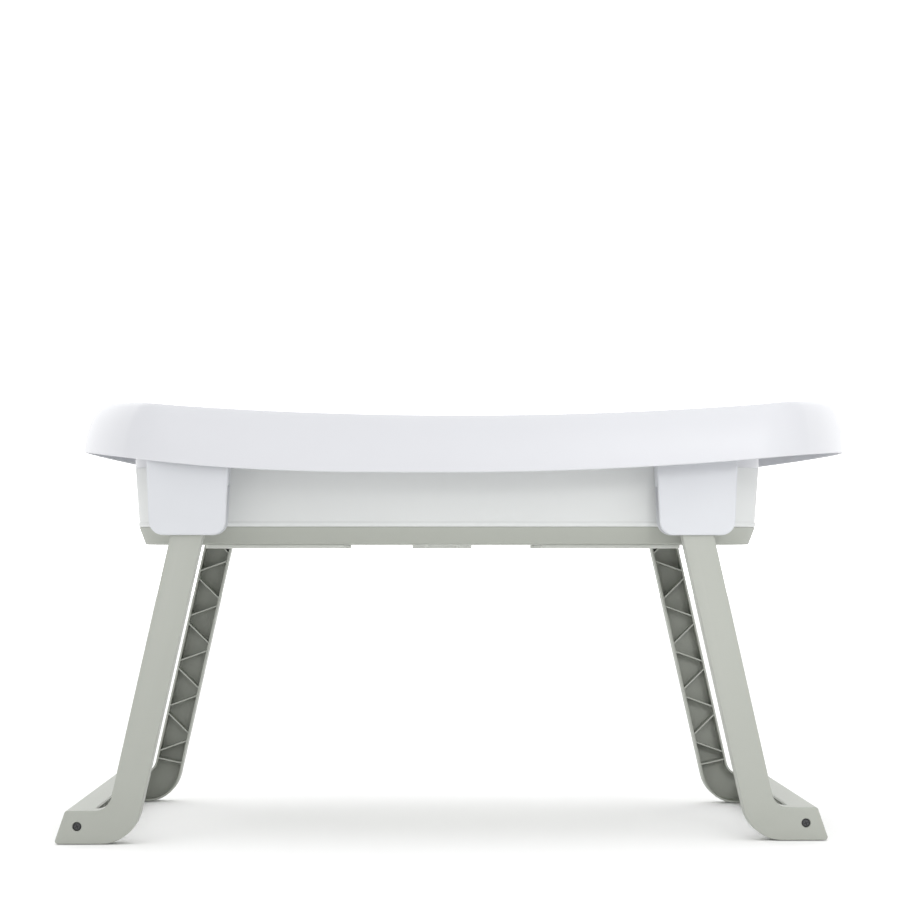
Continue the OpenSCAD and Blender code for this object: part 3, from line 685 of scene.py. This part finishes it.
def makeRim():
    skirtSteps = 26
    turns = [math.pi / 2 * (k / skirtSteps) ** 0.8 for k in range(skirtSteps + 1)]
    outer = [skirtRing(t, 0) for t in turns]
    inner = [skirtRing(t, rim["wall"]) for t in turns]
    lipOuter = [lipRing(t, 0) for t in quarterTurns(8)[::-1]]
    lipInner = [lipRing(t, rim["wall"]) for t in quarterTurns(8)]
    foot = [[(*p, p[0], 0.0, 0.0) for p in tubRing(d, z, lipPlan)]
            for d, z in ((-rim["wall"], tub["softTop"] + 0.6), (-rim["wall"] + 0.5, tub["softTop"]),
                         (-0.5, tub["softTop"]), (0, tub["softTop"] + 0.6))]
    rings = [hemRing(math.pi * k / 8) for k in range(7, 0, -1)] + outer
    rings += between(outer[-1], lipOuter[0], 0.2, 0.4, 0.6, 0.8) + lipOuter
    rings += between(lipOuter[-1], foot[0], 0.35, 0.7) + foot
    rings += between(foot[-1], lipInner[0], 0.3, 0.65) + lipInner
    rings += between(lipInner[-1], inner[-1], 0.25, 0.5, 0.75) + inner[::-1]
    points, faces = loft([[p[:3] for p in ring] for ring in rings], closed=True)
    facts = [p[3:] for ring in rings for p in ring]
    low, radius, bore = rim["bossLow"], rim["bossR"], rim["bossBore"]
    for firstX, y in screwRows:
        for x in (firstX, firstX + rim["screwSpread"]):
            top = topAt(x) - rim["bossSink"]
            section = [(bore, low), (radius - 0.5, low), (radius, low + 0.5), (radius, top), (bore, top)]
            points, faces = together((points, faces), turned(section, x, y, 32))
    facts += [(0.0, 0.0, 0.0)] * (len(points) - len(facts))
    piece = addMesh("rim_shell", (points, faces))
    for column, (key, unitSize) in enumerate(zip(saddleKeys, (mm, 1, 1))):
        attribute = piece.data.attributes.new(key, "FLOAT", "POINT")
        attribute.data.foreach_set("value", [row[column] * unitSize for row in facts])
    grow(piece, "saddle", halfLength=rim["halfLength"] * mm, topMiddle=rim["topMiddle"] * mm,
         topHeadRise=rim["topRise"] * mm, topFootRise=rim["topRise"] * mm, topHeadPower=2.0,
         lowMiddle=place["legsX"] * mm, lowHeadRise=rim["lowHeadRise"] * mm,
         lowFootRise=rim["lowFootRise"] * mm, lowHeadPower=rim["lowHeadPower"], material=finish["rimWhite"])
    for key in saddleKeys:
        piece.data.attributes.remove(piece.data.attributes[key])
    smooth(piece, 40)
    belong(piece, "tub_rim", "rim")


makeRim()

print("soft wall")
soft = {
    "keep": 0.11,
    "levels": (378.0, 366.0, 354.0, 342.0, 333.0),
    # height and reach
    "bead": [(327.6, 0.0), (326.9, 0.45), (326.1, 0.7), (324.2, 0.7), (323.1, 0.5), (322.5, 0.1)],
    "folds": 3, "foldDepth": 0.9, "steps": 30,
}


def makeSoftWall():
    high, low = tub["softTop"], tub["softLow"] + tub["softGap"]

    def draftAt(z):
        return -tub["softDraft"] * (tub["softTop"] - z) / (tub["softTop"] - tub["softLow"])

    outer = [(-0.4, high), (0.0, high - 0.4)]
    outer += [(draftAt(z), z) for z in soft["levels"]]
    outer += [(draftAt(z) + reach, z) for z, reach in soft["bead"]]
    outer += [(draftAt(low) - 0.4, low)]
    inner = []
    for k in range(soft["steps"] + 1):
        share = k / soft["steps"]
        z = low + (high - low) * share
        groove = soft["foldDepth"] * math.sin(math.pi * soft["folds"] * share) ** 2
        inner.append((draftAt(z) - tub["softWall"] + groove, z))
    rings = [tubRing(d, z) for d, z in outer + inner]
    piece = addMesh("soft_band", loft(rings, closed=True), "softGrey")
    smooth(piece, 40)
    belong(piece, "tub_rim", "soft_wall")
    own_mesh(piece)


makeSoftWall()

print("base and drain")
base = {
    "drainHole": 20.2, "footR": 3.0, "footRise": 2.4,
    "railLength": 146.0, "railEnd": 250.0, "railWidth": 26.0, "railY": 137.0, "railHeight": 4.0,
    "railCornerR": 6.0,
    "dotR": 2.8, "dotHeight": 1.0, "dotPitch": 14.0, "dotRows": 17,
    "dotFields": [(-302.0, 18), (30.0, 17)],      # where each field starts along the floor, dots in a row
}
drain = {
    "boreR": 17.0, "tubeR": 20.0, "flangeR": 30.0, "flangeT": 1.6, "nutR": 33.0, "nutT": 4.0,
    "plugR": 24.0, "plugT": 2.4, "plugDepth": 8.0, "plugStemR": 15.0, "sealT": 1.6, "sealR": 23.0,
    "sealGap": 0.05, "knobR": 7.0, "knobH": 7.0,
    "notches": 6, "notchR": 2.2,
}


def drainRing(radius, z):
    ring = []
    for station in tubPlan:
        angle = math.atan2(station[1], station[0] - place["legsX"])
        ring.append((place["legsX"] + radius * math.cos(angle), radius * math.sin(angle), z))
    return ring


# low domes on the floor against slipping, in a field at each side of the drain
def floorDots(floor):
    dome = [(base["dotR"] * math.cos(t), base["dotHeight"] * math.sin(t)) for t in (-0.3, 0.2, 0.6, 1.0, 1.4)]
    dot = turned(dome, 0, 0, 16, False)
    fields = []
    for start, count in base["dotFields"]:
        row = rowOf(dot, "baseGrey", count, (start, 0, floor), (base["dotPitch"], 0, 0))
        side = -(base["dotRows"] - 1) / 2 * base["dotPitch"]
        fields.append(rowOf(row, "baseGrey", base["dotRows"], (0, side, 0), (0, base["dotPitch"], 0)))
    return together(*fields)


def makeBase():
    top, low, wall, footR = tub["softLow"], tub["baseLow"], tub["baseWall"], base["footR"]
    outTop = -tub["softDraft"]
    outLow = outTop - tub["baseDraft"]
    floor = low + wall
    side = [(outTop - wall + 0.5, top), (outTop - 0.6, top), (outTop - 0.15, top - 0.2), (outTop, top - 0.7)]
    for t in quarterTurns(6):
        side.append((outLow - footR * (1 - math.cos(t)), low + base["footRise"] * (1 - math.sin(t))))
    rings = [tubRing(d, z) for d, z in side]
    holeLow = drainRing(base["drainHole"], low)
    holeHigh = drainRing(base["drainHole"], floor)
    rings += between(rings[-1], holeLow, 0.1, 0.3, 0.55, 0.8) + [holeLow, holeHigh]
    inLow = outLow - wall
    floorEdge = tubRing(inLow - 2 * footR, floor)
    rings += between(holeHigh, floorEdge, 0.2, 0.45, 0.7, 0.9)
    for t in quarterTurns(6):
        rings.append(tubRing(inLow - 2 * footR * (1 - math.sin(t)), floor + footR * (1 - math.cos(t))))
    rings.append(tubRing(outTop - wall, top - 0.5))
    shell = together(loft(rings, closed=True), floorDots(floor))
    makePiece("base_shell", shell, "tub_base", "base_plastic", "base_tray")


# a slab whose outline lies flat, from height z0 to z1
def flatSlab(outline, z0, z1, edge, steps=3):
    points, faces = slab(outline, z0, z1, edge, steps)
    return [(x, y, z) for x, z, y in points], faces


def makeRails():
    parts = []
    length, low = base["railLength"], tub["baseLow"]
    for side in (-1, 1):
        for y in (-base["railY"], base["railY"]):
            cx = place["legsX"] + side * (base["railEnd"] - length / 2)
            strip = centredBox(length, base["railWidth"], base["railCornerR"], cx, y)
            parts.append(flatSlab(strip, low - base["railHeight"], low, 0.8))
    makePiece("under_rails", together(*parts), "tub_base", "rail_plastic", "base_rails")


def makeDrain():
    x, low = place["legsX"], tub["baseLow"]
    floor = low + tub["baseWall"]
    bottom = low - drain["nutT"]
    seatTop = floor + drain["flangeT"]
    boreR, tubeR, flangeR = drain["boreR"], drain["tubeR"], drain["flangeR"]
    seat = turned([(boreR, bottom + 0.4), (boreR + 0.4, bottom), (tubeR - 0.4, bottom), (tubeR, bottom + 0.4),
                   (tubeR, floor), (flangeR - 0.2, floor), (flangeR, floor + 0.3),
                   (flangeR - 0.5, seatTop - 0.4), (flangeR - 1.2, seatTop), (boreR + 1.0, seatTop),
                   (boreR + 0.3, seatTop - 0.2), (boreR, seatTop - 0.9)], x, 0)
    makePiece("drain_ring", seat, "tub_base", "drain_plastic", "drain_seat")

    count = 180
    notchTurn = 2 * math.pi / drain["notches"]

    def nutRing(radius, z, notched=True):
        ring = []
        for k in range(count):
            angle = 2 * math.pi * k / count
            off = abs(angle - round(angle / notchTurn) * notchTurn) * drain["nutR"]
            dip = math.sqrt(max(0, drain["notchR"] ** 2 - off ** 2)) if notched else 0
            ring.append((x + (radius - dip) * math.cos(angle), (radius - dip) * math.sin(angle), z))
        return ring

    nut = loft([nutRing(drain["tubeR"] + 0.2, bottom, False), nutRing(drain["nutR"] - 0.7, bottom),
                nutRing(drain["nutR"] - 0.2, bottom + 0.2), nutRing(drain["nutR"], bottom + 0.8),
                nutRing(drain["nutR"], low, False), nutRing(drain["tubeR"] + 0.2, low, False)], closed=True)
    makePiece("drain_ring_nut", nut, "tub_base", "rail_plastic", "drain_nut")

    plugZ = seatTop + drain["sealT"]
    plugTop = plugZ + drain["plugT"]
    headZ = plugTop + drain["knobH"]
    stem, plugR, knobR = drain["plugStemR"], drain["plugR"], drain["knobR"]
    stemIn, stemLow = stem - drain["plugT"], plugZ - drain["plugDepth"]
    centre = 0.02
    plug = turned([(centre, plugZ - 0.4), (stemIn, plugZ - 0.4), (stemIn, stemLow), (stem - 0.4, stemLow),
                   (stem, stemLow + 0.5), (stem, plugZ), (plugR - 0.4, plugZ), (plugR, plugZ + 0.5),
                   (plugR - 0.3, plugTop - 0.7), (plugR - 1.2, plugTop), (knobR + 1.2, plugTop + 0.15),
                   (knobR + 0.2, plugTop + 0.9), (knobR, headZ - 3.2), (knobR + 0.9, headZ - 2.8),
                   (knobR + 1.5, headZ - 1.9), (knobR + 1.3, headZ - 0.7), (knobR + 0.4, headZ),
                   (knobR - 2, headZ - 0.2), (centre, headZ - 0.5)], x, 0)
    makePiece("drain_stopper", plug, "plug", "drain_plastic", "drain_plug")

    sealR, sealIn = drain["sealR"], stem + 0.2
    z0, z1 = seatTop + drain["sealGap"], plugZ - drain["sealGap"]
    seal = turned([(sealIn, z0 + 0.3), (sealIn + 0.3, z0), (sealR - 0.7, z0), (sealR - 0.2, z0 + 0.2),
                   (sealR, z0 + 0.75), (sealR - 0.2, z1 - 0.2), (sealR - 0.7, z1), (sealIn + 0.3, z1),
                   (sealIn, z1 - 0.3)], x, 0)
    makePiece("drain_seal_ring", seal, "plug", "seal_rubber", "drain_seal")


makeBase()
makeRails()
makeDrain()

print("housings")
pocket = {
    "near": 36.6, "far": 48.8, "draft": 4.0, "low": 313.0, "shoulder": 402.0, "top": 424.0, "cornerR": 15.0,
    "wall": 2.5, "frontEdge": 2.4, "backEdge": 0.6, "stemWidth": 62.0, "stemSetback": 8.0,
    "swing": 1.0, "mouthLap": 2.0, "stopLift": 4.0, "stopHeight": 12.0, "stopClear": 0.3,
    "lean": 12.5, "halfLeg": 16.0, "pinHoleR": 4.05,
}


lean = math.radians(pocket["lean"])


def legLineX(z, across):
    return place["pivotX"] + (place["pivotZ"] - z) * math.tan(lean) + across / math.cos(lean)


def drawHousing():
    near, far = place["pivotX"] - pocket["near"], place["pivotX"] + pocket["far"]
    wall, low, shoulder = pocket["wall"], pocket["low"], pocket["shoulder"]
    f0, f1 = -place["washer"], place["legDepth"] + place["washer"]
    draft, cornerR, back = pocket["draft"], pocket["cornerR"], pocket["backEdge"]
    corners = [(near + draft, low, cornerR), (far - draft, low, cornerR), (far, shoulder, 1.0),
               (near, shoulder, 1.0)]
    rings = []
    for inset, f in ((back, f0 - wall), (0.18, f0 - wall + 0.18), (0, f0 - wall + back)):
        rings.append([(x, f, z) for x, z in roundedOutline(corners, inset)])
    edge = pocket["frontEdge"]
    for t in quarterTurns(6):
        rings.append([(x, f1 + wall - edge * (1 - math.sin(t)), z)
                      for x, z in roundedOutline(corners, edge * (1 - math.cos(t)))])
    mouthFrom, mouthTo = near + draft + cornerR, far - draft - cornerR
    swingTop = place["pivotZ"] + pocket["halfLeg"] + pocket["swing"] + pocket["mouthLap"]
    inside = plainSlab(roundedOutline(corners, wall), f0, f1)
    mouth = plainSlab(boxOutline(mouthFrom, mouthTo, low - 1, low + 2 * wall), f0, f1)
    swing = plainSlab(boxOutline(near - 1, mouthFrom + pocket["mouthLap"], low - 1, swingTop),
                      -pocket["swing"], place["legDepth"] + pocket["swing"])
    pinHole = rod(*pivot, pocket["pinHoleR"], f0 - wall - 1, f1 + wall / 2)
    shell = cutAway(loft(rings), inside, mouth, swing, pinHole)
    stemMid = (near + far) / 2
    s0, s1 = stemMid - pocket["stemWidth"] / 2, stemMid + pocket["stemWidth"] / 2
    stemF1 = f1 + wall - pocket["stemSetback"]
    top, under = pocket["top"], shoulder - wall
    stem = slab([(x, z, 0.6) for x, z in boxOutline(s0, s1, under, top)], f0 - wall, stemF1, 0.4)
    hollow = plainSlab(boxOutline(s0 + wall, s1 - wall, under - 2, top - wall), f0, stemF1 - wall)
    stem = cutAway(stem, hollow)
    z0 = low + pocket["stopLift"]
    z1 = z0 + pocket["stopHeight"]
    stopTo = far - draft - 1
    outline = [(legLineX(z0, pocket["halfLeg"]) + pocket["stopClear"], z0, 0),
               (stopTo, z0, cornerR - pocket["stopLift"]), (stopTo, z1, 0),
               (legLineX(z1, pocket["halfLeg"]) + pocket["stopClear"], z1, 0)]
    stop = plainSlab(roundedOutline(outline), f0 - 1, f1 + 1)
    return together(shell, stem, stop)


def makeHousings():
    drawn = drawHousing()
    for side, sideName, face, faceName in fourCorners:
        name = faceName + "_" + sideName
        makePiece(name + "_pocket", atCorner(drawn, side, face),
                  "tub_rim", "housing_plastic", name + "_housing")


makeHousings()

print("legs")
leg = {
    "width": 32.0, "wall": 2.2, "heelR": 40.0, "instepR": 17.0, "footHeight": 33.6, "toeSlant": 11.5,
    "toeR": 3.0, "edge": 0.9, "floorRound": 1.2,
    "ribT": 1.5, "ribPitch": 27.3, "ribStart": 40.4, "ribCount": 10, "ribRun": 18.6, "lastRib": 304.1,
    "ribRecess": 1.0,
    "screwInset": 23.5, "screwZ": 17.6, "recessR": 4.6, "recessDepth": 3.2, "screwHoleR": 2.2,
    "cupR": 7.0, "bossR": 8.5,
}


def onLeg(along, across):
    return (place["pivotX"] + along * math.sin(lean) + across * math.cos(lean),
            place["pivotZ"] - along * math.cos(lean) + across * math.sin(lean))


def drawLeg():
    half, wall, depth, toeX = leg["width"] / 2, leg["wall"], place["legDepth"], place["toeX"]
    footTop = leg["footHeight"]
    corners = [(*onLeg(-half, half), half), (*onLeg(-half, -half), half),
               (legLineX(0, -half), 0, leg["heelR"]), (toeX, 0, leg["toeR"]),
               (toeX - leg["toeSlant"], footTop, leg["toeR"]),
               (legLineX(footTop, half), footTop, leg["instepR"])]
    profile = [(leg["edge"] * (1 - math.cos(t)), depth - leg["edge"] * (1 - math.sin(t)))
               for t in quarterTurns(3)[::-1]]
    profile += [(0, 0.3), (0.12, 0.09), (0.35, 0), (wall - 0.35, 0), (wall - 0.12, 0.09), (wall, 0.3)]
    turn = leg["floorRound"]
    profile += [(wall + turn * (1 - math.cos(t)), depth - wall - turn * (1 - math.sin(t)))
                for t in quarterTurns(3)]
    channel = loft([[(x, f, z) for x, z in roundedOutline(corners, inset, 10)] for inset, f in profile])
    screwX, screwZ = toeX - leg["screwInset"], leg["screwZ"]
    cup = rod(screwX, screwZ, leg["cupR"], depth - leg["recessDepth"] - wall, depth - wall / 2, 0.3)
    boss = rod(*pivot, leg["bossR"], 0, depth - wall / 2, 0.3)
    pinHole = rod(*pivot, pocket["pinHoleR"], -1, depth + 1)
    screwHole = recess(screwX, screwZ, depth)
    shell = together(cutAway(channel, pinHole, screwHole), cutAway(boss, pinHole), cutAway(cup, screwHole))
    across = 2 * (half - wall / 2)
    length = math.hypot(across, leg["ribRun"])
    slant = math.degrees(math.atan2(leg["ribRun"], across))
    f0, f1 = leg["ribRecess"], depth - wall / 2

    def rib(ribLength):
        return slab(centredBox(ribLength, leg["ribT"], 0.3), f0, f1, 0.25, 2)

    start = onLeg(leg["ribStart"], 0)
    step = onLeg(leg["ribStart"] + leg["ribPitch"], 0)
    ribs = rowOf(rib(length), "legGrey", leg["ribCount"], (start[0], 0, start[1]),
                 (step[0] - start[0], 0, step[1] - start[1]),
                 (0, -pocket["lean"] - slant, 0), (0, slant - pocket["lean"], 0))
    last = onLeg(leg["lastRib"], 0)
    lastRib = rowOf(rib(across), "legGrey", 1, (last[0], 0, last[1]), (0, 0, 0), (0, -pocket["lean"], 0))
    return together(shell, ribs, lastRib)


# recess for a screw's head, with a chamfered mouth, and the hole for its shank
def recess(x, z, depth):
    holeR, recessR, floorAt = leg["screwHoleR"], leg["recessR"], depth - leg["recessDepth"]
    return spun([(holeR, depth - 12), (holeR, floorAt), (recessR, floorAt), (recessR, depth - 0.5),
                 (recessR + 0.7, depth + 0.2)], x, z)


def makeLegs():
    drawn = drawLeg()
    for side, sideName, face, faceName in fourCorners:
        name = sideName + "_" + faceName + "_leg"
        makePiece(name + "_channel", atCorner(drawn, side, face),
                  sideName + "_frame", "leg_plastic", name)


makeLegs()

print("crossbars")
bar = {
    "topWidth": 27.5, "wall": 2.4, "flare": 4.0, "ribPitch": 37.0, "ribT": 1.5, "ribInset": 0.6,
    "fit": 0.2, "edgeR": 1.0,
}


def drawCrossbar(side):
    toeX, height, wall = place["toeX"], leg["footHeight"], bar["wall"]
    barIn = toeX - leg["toeSlant"] - bar["topWidth"]
    end = place["lane"][side] - bar["fit"]
    outer = [(barIn - bar["flare"], 0, bar["edgeR"]), (toeX, 0, leg["toeR"]),
             (toeX - leg["toeSlant"], height, leg["toeR"]), (barIn, height, bar["edgeR"])]
    channel = [(barIn - bar["flare"], wall, 0.5), (barIn - bar["flare"], 0, 0.8), (toeX, 0, leg["toeR"]),
               (toeX - leg["toeSlant"], height, leg["toeR"]), (barIn, height, 0.8),
               (barIn, height - wall, 0.5), (toeX - leg["toeSlant"] - wall, height - wall, 1.2),
               (toeX - leg["toeSlant"] * wall / height - wall, wall, 1.2)]
    body = slab(channel, -end, end, 0.3, 2)
    count = int(2 * end // bar["ribPitch"])
    pitch = (2 * end - bar["ribT"]) / count
    plate = plainSlab(roundedOutline(outer, bar["ribInset"]), -bar["ribT"] / 2, bar["ribT"] / 2)
    plates = rowOf(plate, "legGrey", count + 1, (0, bar["ribT"] / 2 - end, 0), (0, pitch, 0))
    tongueFrom = end - leg["wall"]
    tongueTo = place["lane"][side] + place["legDepth"] - leg["recessDepth"] - leg["wall"] - bar["fit"]
    tongue = roundedOutline(outer, leg["wall"] + bar["fit"])
    tongues = [plainSlab(tongue, tongueFrom, tongueTo), plainSlab(tongue, -tongueTo, -tongueFrom)]
    points, faces = together(body, plates, *tongues)
    return [(place["legsX"] + side * x, -f, z) for x, f, z in points], faces


def makeCrossbars():
    for side, sideName in sides:
        makePiece(sideName + "_crossbar_channel", drawCrossbar(side),
                  sideName + "_frame", "leg_plastic", sideName + "_crossbar")


makeCrossbars()

print("screws")
screw = {
    "headR": 4.2, "headHeight": 2.4, "shankR": 1.9, "footSeat": 21.9, "footLength": 16.9,
    "housingLength": 11.0, "housingSeat": 421.4,
    "slotLength": 5.0, "slotWidth": 1.1, "slotDepth": 1.2, "slotTurn": 20.0,
}


# the head's seat is at the origin and the head points to -Y
def drawScrew(length):
    headR, top, shankR = screw["headR"], -screw["headHeight"], screw["shankR"]
    blank = spun([(0.5, length), (shankR, length - 1.6), (shankR, 0), (headR - 0.15, 0), (headR, -0.15),
                  (headR, -1.1), (headR - 0.3, -1.7), (headR - 0.9, -2.1), (headR - 2.0, top)], 0, 0)
    arms = []
    for turn in (screw["slotTurn"], screw["slotTurn"] + 90):
        way = cmath.rect(1, math.radians(turn))
        rings = []
        for share, y in ((1.0, top - 0.4), (0.72, top + screw["slotDepth"])):
            slot = centredBox(screw["slotLength"] * share, screw["slotWidth"] * share, 0)
            spots = [way * complex(*corner[:2]) for corner in slot]
            rings.append([(spot.real, y, spot.imag) for spot in spots])
        arms.append(loft(rings))
    return cutAway(blank, *arms)


def makeScrews():
    footScrew = drawScrew(screw["footLength"])
    for side, sideName in sides:
        x = place["legsX"] + side * (place["toeX"] - leg["screwInset"])
        y = place["lane"][side] + screw["footSeat"]
        pair = rowOf(footScrew, "blackSteel", 2, (x, -y, leg["screwZ"]), (0, 2 * y, 0), otherTurn=(0, 0, 180))
        makePiece(sideName + "_foot_screw_pair", pair,
                  sideName + "_frame", "screw_metal", sideName + "_foot_screws")
    housingScrew = drawScrew(screw["housingLength"])
    step, upright = (rim["screwSpread"], 0, 0), (90, 0, 0)
    rows = [rowOf(housingScrew, "blackSteel", 2, (firstX, y, screw["housingSeat"]), step, upright, upright)
            for firstX, y in screwRows]
    makePiece("under_rim_screws", together(*rows), "tub_rim", "screw_metal", "housing_screws")


makeScrews()

print("pins and washers")
pin = {
    "radius": 4.0, "headR": 7.0, "headT": 1.4, "endGap": 1.45,
    "washerR": 8.5, "washerBore": 4.05, "washerEdge": 0.2,
}


def makePins():
    seat = -place["washer"] - pocket["wall"]
    end = place["legDepth"] + place["washer"] + pocket["wall"] - pin["endGap"]
    headR, radius = pin["headR"], pin["radius"]
    top = seat - pin["headT"]
    drawn = spun([(headR - 2.0, top), (headR - 0.7, top + 0.2), (headR, seat - 0.7), (headR, seat - 0.1),
                  (headR - 0.1, seat), (radius, seat), (radius, end - 0.6), (radius - 0.6, end)],
                 *pivot)
    for side, sideName, face, faceName in fourCorners:
        name = faceName + "_" + sideName
        makePiece(name + "_axle", atCorner(drawn, side, face),
                  "tub_rim", "pin_steel", name + "_pivot_pin")


def makeWashers():
    edge, bore, radius = pin["washerEdge"], pin["washerBore"], pin["washerR"]
    pair = []
    for start in (-place["washer"], place["legDepth"]):
        f0, f1 = start + edge, start + place["washer"] - edge
        section = [(bore, f0 + 0.1), (bore + 0.1, f0), (radius - edge, f0), (radius, f0 + edge),
                   (radius, f1 - edge), (radius - edge, f1), (bore + 0.1, f1), (bore, f1 - 0.1)]
        pair.append(spun(section, *pivot, closed=True))
    drawn = together(*pair)
    for side, sideName in sides:
        both = together(atCorner(drawn, side, 1), atCorner(drawn, side, -1))
        makePiece(sideName + "_washers", both,
                  sideName + "_frame", "pin_steel", sideName + "_pivot_washers")


makePins()
makeWashers()

print("foot pads")
pad = {
    "length": 60.0, "width": 16.0, "thick": 1.4, "inset": 12.0, "cornerR": 3.0, "tread": 0.5,
    "ribs": 14, "ribPitch": 4.2, "ribWidth": 1.8, "ribLength": 14.0,
}


# strips of rubber under the crossbars, ribbed across against slipping
def makePads():
    x = place["toeX"] - (leg["toeSlant"] + bar["topWidth"]) / 2
    rib = flatSlab(centredBox(pad["ribLength"], pad["ribWidth"], 0.85), 0, pad["tread"] + 0.2, 0.2, 2)
    for side, sideName in sides:
        parts = []
        for face in (-1, 1):
            cx = place["legsX"] + side * x
            cy = -face * (place["lane"][side] - pad["inset"] - pad["length"] / 2)
            strip = centredBox(pad["width"], pad["length"], pad["cornerR"], cx, cy)
            parts.append(flatSlab(strip, pad["tread"], pad["thick"], 0.25, 2))
            start = cy - (pad["ribs"] - 1) / 2 * pad["ribPitch"]
            parts.append(rowOf(rib, "padRubber", pad["ribs"], (cx, start, 0), (0, pad["ribPitch"], 0)))
        makePiece(sideName + "_foot_grips", together(*parts),
                  sideName + "_frame", "seal_rubber", sideName + "_foot_pads")


makePads()

print("floor")


def makeFloor():
    half = 14000
    points = [(x, y, 0) for x, y in boxOutline(-half, half, -half, half)]
    floor = addMesh("studio_floor", (points, [(0, 1, 2, 3)]))
    floor.location.z = -0.0006
    floor.data.materials.append(moulded("floor_white", (255, 255, 255), 1.0, 60, 0.02, mottle=0.0,
                                        specular=0.0, edge=0.0, scuff=0.0))


makeFloor()
